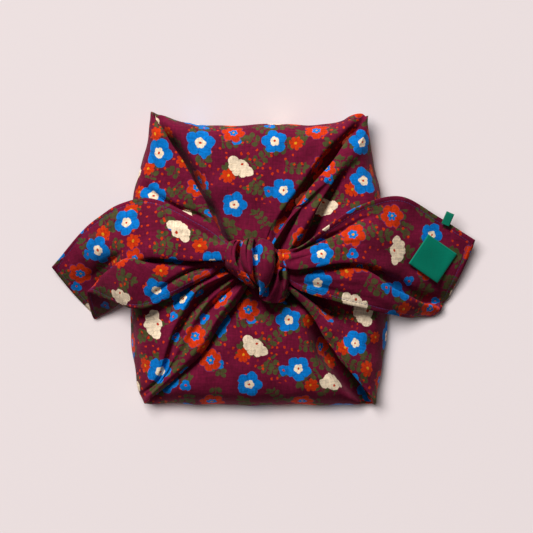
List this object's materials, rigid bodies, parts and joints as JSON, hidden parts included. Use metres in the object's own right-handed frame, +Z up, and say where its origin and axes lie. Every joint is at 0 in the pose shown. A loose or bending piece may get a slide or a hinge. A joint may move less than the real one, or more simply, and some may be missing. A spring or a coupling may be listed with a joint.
{
  "type": "furoshiki wrap",
  "caption": "Square printed cloth tied by two corners over a soft flat gift, with a pleated knot, two folded tails, a sewn label and a small loop tab.",
  "frame": {"origin": "middle of the flat underside of the bundle", "axes": "+Z up out of the knot, +X along the tails towards the labelled one, +Y towards the top flap"},
  "size_m": [0.3561, 0.246, 0.0748],
  "materials": {
    "printed_cloth": "matte woven cotton, burgundy with a scattered flower print",
    "woven_label": "matte woven green",
    "loop_ribbon": "matte ribbed green ribbon"
  },
  "bodies": {
    "root": {"wrap_cloth": "printed_cloth", "sewn_label": "woven_label", "loop_tab": "loop_ribbon"}
  },
  "joints": []
}
